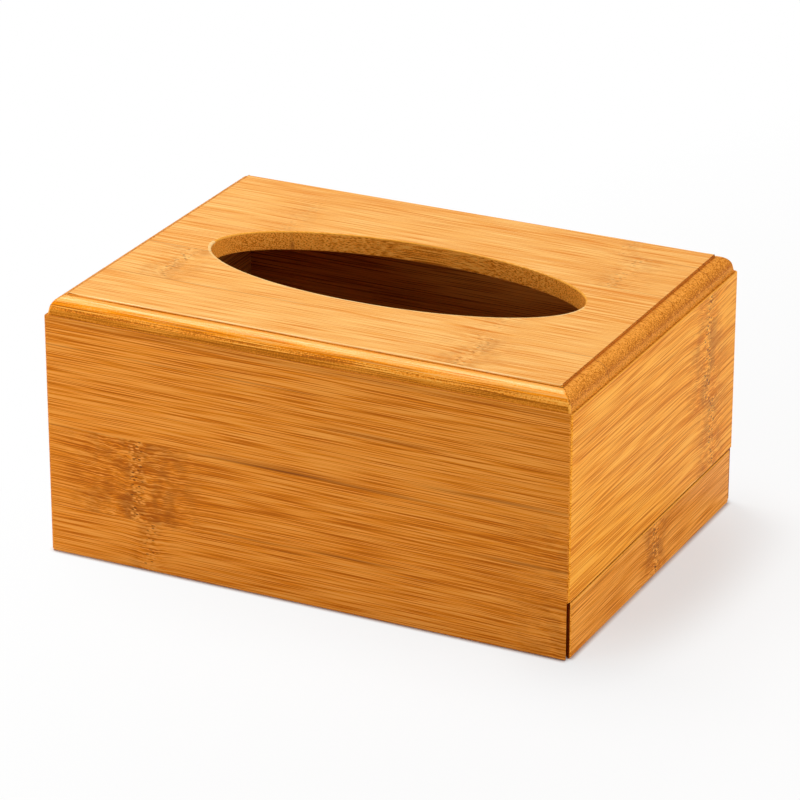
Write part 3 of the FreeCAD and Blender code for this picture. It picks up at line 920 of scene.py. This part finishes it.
def moulding_moves(thickness):
    """The moulding from above, as moves outwards and down, each with its finish."""
    moves = [(0.0, STEP_HEIGHT, STEP), (STEP_LIP, 0.0, LONG_ROUND)]
    for step in range(ROUND_STEPS):
        start, end = [ROUND_TURN * part / ROUND_STEPS for part in (step, step + 1)]
        outwards = ROUND_RADIUS * (math.sin(end) - math.sin(start))
        down = ROUND_RADIUS * (math.cos(start) - math.cos(end))
        moves.append((outwards, down, LONG_ROUND if step < ROUND_STEPS - TORN_STEPS else TORN))
    outwards = MOULDING_WIDTH - sum(move[0] for move in moves)
    down = thickness - sum(move[1] for move in moves)
    return moves + [(outwards, down, FACET)]


def looks_endwise(face):
    """Whether a face looks to the left or right rather than to the front or back."""
    return abs(face.normal.x) > abs(face.normal.y)


edge_loop = flat_outline
half_length = FLAT_LENGTH / 2
half_depth = FLAT_DEPTH / 2
for outwards, down, finish in moulding_moves(board_high.z - board_low.z):
    made = bmesh.ops.extrude_edge_only(board, edges=edge_loop)["geom"]
    edge_loop = edges_in(made)
    moved = list({vert for edge in edge_loop for vert in edge.verts})
    wider = (1 + outwards / half_length, 1 + outwards / half_depth, 1)
    bmesh.ops.scale(board, vec=wider, verts=moved)
    bmesh.ops.translate(board, vec=(0, 0, -down), verts=moved)
    half_length += outwards
    half_depth += outwards
    for face in made:
        if isinstance(face, bmesh.types.BMFace):
            face.material_index = finish
for face in bmesh.ops.bridge_loops(board, edges=upper_rim + lower_rim)["faces"]:
    face.material_index = MOUTH
bmesh.ops.remove_doubles(board, verts=board.verts, dist=SAME)
bmesh.ops.recalc_face_normals(board, faces=board.faces)
for face in board.faces:
    if face.material_index in (LONG_ROUND, TORN) and looks_endwise(face):
        face.material_index = END_ROUND
    if face.material_index == STEP and not looks_endwise(face):
        face.material_index = FACET
print("moulding drawn with", len(board.faces), "faces")

# %% [markdown]
# Last, sandpaper takes off what is sharp: the corners of the moulding, the outline of the flat and both rims
# of the mouth. The bevels come after the moulding, so they cross all of it. At the front half of the mouth a
# narrow band of the flat and the rounding beside it are pale and shine: a painted highlight.

# %% The soft corners and edges of the top
CORNER_SOFTNESS = 0.6 * MM
SOFT_STEPS = 4
FINE_ARRIS = 0.35 * MM
FINE_STEPS = 2
RIM_RADIUS = 0.5 * MM
# A face whose normal rises less than this is steep.
STEEP = 0.4


def mitre_edges(bm):
    """The edges along which the moulding turns a corner of the board."""
    chosen = []
    for edge in bm.edges:
        one, other = edge.link_faces
        moulded = ON_TOP not in (one.material_index, other.material_index)
        sloped = max(abs(one.normal.z), abs(other.normal.z)) < 1 - SLIGHT
        if moulded and sloped and MOUTH != one.material_index and looks_endwise(one) != looks_endwise(other):
            chosen.append(edge)
    return chosen


def flat_edges(bm):
    """The outline of the flat."""
    chosen = []
    for edge in bm.edges:
        finishes = [face.material_index for face in edge.link_faces]
        high = all(abs(vert.co.z - board_high.z) < SAME for vert in edge.verts)
        if high and finishes.count(ON_TOP) == 1 and MOUTH not in finishes:
            chosen.append(edge)
    return chosen


# The steep faces at the corners of the moulding take the pale arris finish, partly a painted highlight.
for face in ease(board, mitre_edges(board), CORNER_SOFTNESS, SOFT_STEPS, clamp=False):
    if abs(face.normal.z) < STEEP:
        face.material_index = TOP_ARRIS
# The outline of the flat: a painted highlight along the front and back, a painted shade at the ends.
for face in ease(board, flat_edges(board), FINE_ARRIS, FINE_STEPS, clamp=False):
    face.material_index = STEP if looks_endwise(face) else RIM
# The upper rim of the mouth: a painted highlight on its front half, the pale arris finish on its back half.
for face in ease(board, upper_rim + lower_rim, RIM_RADIUS, SOFT_STEPS):
    face.material_index = MOUTH
    if face.calc_center_median().z > (board_low.z + board_high.z) / 2:
        face.material_index = RIM if face.normal.y > 0 else TOP_ARRIS
# A narrow band of the flat before the front of the mouth takes the same painted highlight.
for face in board.faces:
    middle = face.calc_center_median()
    across = math.hypot(middle.x / (OVAL_LENGTH / 2 + RIM_BAND), middle.y / (OVAL_WIDTH / 2 + RIM_BAND))
    if face.material_index == ON_TOP and across < 1 and middle.y < 0 < face.normal.z:
        face.material_index = RIM
make_piece("moulded_top", board, "case", "top_panel", "bamboo_top", top_bamboo, long_round_bamboo,
           torn_bamboo, end_round_bamboo, facet_bamboo, sawn_and_shade_bamboo, arris_wear_and_highlight_bamboo, mouth_painted_light_bamboo, rim_highlight_bamboo)

# %% [markdown]
# The base is a plain thin board that nobody sees until it is pulled out. A cube drawn out to its size is
# enough. Its two leading corners are rounded so that it finds the grooves. The keys across the mitres stay
# as the frame has them, because plain slips of bamboo are all they are, and they only take their finish.

# %% The sliding base and the keys
LEAD_RADIUS = 2.0 * MM
LEAD_STEPS = 6
BASE_ARRIS = 0.2 * MM
base_low, base_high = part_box("base_board")
base = bmesh.new()
centred = Matrix.Translation((base_low + base_high) / 2)
bmesh.ops.create_cube(base, size=1.0, matrix=centred @ Matrix.Diagonal((*(base_high - base_low), 1)))
leading = [edge for edge in base.edges if all(abs(vert.co.x - base_low.x) < SAME for vert in edge.verts)
           and abs(edge.verts[0].co.y - edge.verts[1].co.y) < SAME]
ease(base, leading, LEAD_RADIUS, LEAD_STEPS)
sharp = [edge for edge in base.edges if edge.calc_face_angle() > SHARP_ANGLE]
ease(base, sharp, BASE_ARRIS, FINE_STEPS)
make_piece("sliding_board", base, "sliding_base", "base_board", "bamboo_base", base_raw_and_shade_bamboo)

for name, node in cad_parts.items():
    if name.startswith("spline_"):
        node.material_slots[0].material = key_bamboo
        print("key:", name)

# %% [markdown]
# The stage is a sheet of white paper, wide enough to run out of sight. Light alone can't make it plain white
# without bleaching the box, so the camera sees a mix of lit paper and plain white. The share of plain white
# is about half at the right end, where the soft shadow lies, and grows to the whole further out. Right
# beside the box, where little sky is open, it fades, and a thin shade of contact is left.

# %% The floor
FLOOR_SIZE = 6.0
PAPER = "#DCDAD9"
WHITE = "#FFFFFF"
SHADOW_MIDDLE = (high_corner.x, 0.0, 0.0)
SHADOW_SQUEEZE = (1.0, 0.4, 1.0)
SHADOW_DEEP = 8.0 * MM
SHADOW_FAINT = 36.0 * MM
SHADOW_END = 200.0 * MM
DEEP_SHARE = 0.52
FAINT_SHARE = 0.16
CONTACT_REACH = 1.5 * MM
HALF_OPEN = 0.5

floor_mesh = bmesh.new()
bmesh.ops.create_grid(floor_mesh, x_segments=1, y_segments=1, size=FLOOR_SIZE / 2)
floor_data = bpy.data.meshes.new("floor")
floor_mesh.to_mesh(floor_data)
floor_mesh.free()
floor = bpy.data.objects.new("floor", floor_data)
bpy.context.scene.collection.objects.link(floor)

paper = bpy.data.materials.new("white_paper")
paper.use_nodes = True
tree = paper.node_tree
tree.nodes.clear()
lit = add(tree, "BsdfDiffuse", {"Color": linear(PAPER)})[0]
glow = add(tree, "Emission", {"Color": linear(WHITE), "Strength": 1.0})[0]
seen = add(tree, "LightPath")["Is Camera Ray"]
ground = add(tree, "TexCoord")["Object"]
off = add(tree, "VectorMath", {0: ground, 1: SHADOW_MIDDLE}, operation="SUBTRACT")[0]
off = add(tree, "VectorMath", {0: off, 1: SHADOW_SQUEEZE}, operation="MULTIPLY")[0]
distance = add(tree, "VectorMath", {0: off}, operation="LENGTH")["Value"]
near = add(tree, "MapRange", {0: distance, 1: SHADOW_DEEP, 2: SHADOW_FAINT, 3: DEEP_SHARE,
                              4: 1 - FAINT_SHARE}, interpolation_type="SMOOTHSTEP")[0]
far = add(tree, "MapRange", {0: distance, 1: SHADOW_FAINT, 2: SHADOW_END, 3: 0.0, 4: FAINT_SHARE})[0]
share = add(tree, "Math", {0: near, 1: far}, operation="ADD")[0]
open_sky = add(tree, "AmbientOcclusion", {"Distance": CONTACT_REACH})["AO"]
open_sky = add(tree, "MapRange", {0: open_sky, 1: HALF_OPEN, 2: 1.0})[0]
share = add(tree, "Math", {0: share, 1: open_sky}, operation="MULTIPLY")[0]
share = add(tree, "Math", {0: share, 1: seen}, operation="MULTIPLY")[0]
both = add(tree, "MixShader", {0: share, 1: lit, 2: glow})[0]
add(tree, "OutputMaterial", {"Surface": both})
floor_data.materials.append(paper)
print("stage: floor", FLOOR_SIZE, "m wide")

# %% [markdown]
# The room round the box is white too. The camera sees it at full white, and as light it is only a gentle
# fill, because a room as bright as it looks would wash the shadows out.

# %% The room
FILL_LEVEL = 0.25

world = bpy.data.worlds.new("white_room")
bpy.context.scene.world = world
world.use_nodes = True
tree = world.node_tree
tree.nodes.clear()
seen = add(tree, "LightPath")["Is Camera Ray"]
strength = add(tree, "MapRange", {0: seen, 3: FILL_LEVEL, 4: 1.0})[0]
room = add(tree, "Background", {"Color": linear(WHITE), "Strength": strength})[0]
add(tree, "OutputWorld", {"Surface": room})
print("room: fill of", FILL_LEVEL)

# %% [markdown]
# Soft studio light from three square lamps: a large one overhead, a little to the left, a larger one on the
# right that lifts the end of the box above its front, and a small low one that fills the front and isn't
# mirrored in the lacquer. Each is given by the brightness of a white card that faces it at the box, which is
# easier to judge than watts, and the power follows from its distance.

# %% Lights
MIDDLE = (low_corner + high_corner) / 2


def softbox(name, place, size, level, mirrored=True):
    """A square lamp aimed at the box, as bright there as the level says, and seen in its lacquer or not."""
    lamp = bpy.data.lights.new(name, "AREA")
    lamp.shape = "SQUARE"
    lamp.size = size
    reach = MIDDLE - Vector(place)
    lamp.energy = math.pi ** 2 * level * reach.length_squared
    stand = bpy.data.objects.new(name, lamp)
    stand.location = place
    stand.rotation_mode = "QUATERNION"
    stand.rotation_quaternion = reach.to_track_quat("-Z", "Y")
    stand.visible_camera = False
    stand.visible_glossy = mirrored
    bpy.context.scene.collection.objects.link(stand)
    print("lamp:", name, round(lamp.energy, 2), "W at", round(reach.length, 2), "m")


softbox("overhead", place=(-0.5, 0.2, 1.1), size=0.6, level=0.8)
softbox("right_side", place=(1.1, -0.1, 0.45), size=0.8, level=0.62)
softbox("low_front", place=(-0.35, -0.45, 0.15), size=0.25, level=0.36, mirrored=False)

# %% [markdown]
# The camera looks down on the corner between the front and the right end through a long lens, so the edges
# of the box stay close to parallel. Its direction, place and lens were fitted to the corners of the box.

# %% Camera
AZIMUTH = math.radians(26.16)
ELEVATION = math.radians(23.09)
CAMERA_PLACE = (0.4861, -0.9866, 0.5091)
LENS = 184.0
NEAREST = 0.05

lens = bpy.data.cameras.new("camera")
lens.lens = LENS
lens.clip_start = NEAREST
camera = bpy.data.objects.new("camera", lens)
ahead = Vector((-math.sin(AZIMUTH) * math.cos(ELEVATION), math.cos(AZIMUTH) * math.cos(ELEVATION),
                -math.sin(ELEVATION)))
camera.location = CAMERA_PLACE
camera.rotation_mode = "QUATERNION"
camera.rotation_quaternion = ahead.to_track_quat("-Z", "Y")
bpy.context.scene.collection.objects.link(camera)
bpy.context.scene.camera = camera
bpy.context.scene.view_settings.view_transform = "Standard"
print("camera:", CAMERA_PLACE, "lens", LENS)
